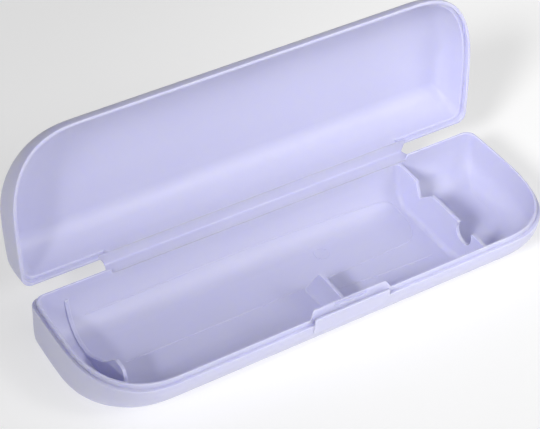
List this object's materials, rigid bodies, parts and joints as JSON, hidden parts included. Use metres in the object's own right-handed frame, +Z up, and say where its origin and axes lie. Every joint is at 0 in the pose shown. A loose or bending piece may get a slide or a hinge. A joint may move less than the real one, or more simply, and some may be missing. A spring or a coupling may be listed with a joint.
{
  "type": "toothbrush travel case",
  "caption": "Slim lidded travel case for an electric toothbrush, with a long web hinge, a snap latch, a handle cradle and a notched partition for brush heads.",
  "frame": {"origin": "middle of the case's length and width on the flat underside of the base, as the open case stands", "axes": "+X along the case towards the brush-head end, +Y towards the hinge, +Z up out of the base"},
  "size_m": [0.222, 0.0976, 0.0951],
  "materials": {
    "case_plastic": "satin lavender-white polypropylene with a very fine moulded texture, slightly translucent",
    "hinge_plastic": "the same polypropylene worked thin and a little glossier where it bends"
  },
  "bodies": {
    "base": {"base_shell": "case_plastic", "base_lip": "case_plastic", "neck_partition": "case_plastic", "handle_cradle": "case_plastic", "centre_rib": "case_plastic", "cavity_ring": "case_plastic", "latch_tongue": "case_plastic", "thumb_tab": "case_plastic", "base_hinge_flange": "hinge_plastic", "hinge_film": "hinge_plastic"},
    "lid": {"lid_hinge_flange": "hinge_plastic", "lid_shell": "case_plastic", "lid_catch": "case_plastic"}
  },
  "joints": [
    {"name": "lid_hinge", "type": "hinge", "parent": "base", "child": "lid", "pos_m": [0, 0.0384, 0.022], "axis": [-1, 0, 0], "range_deg": [-94.5, 80]}
  ]
}
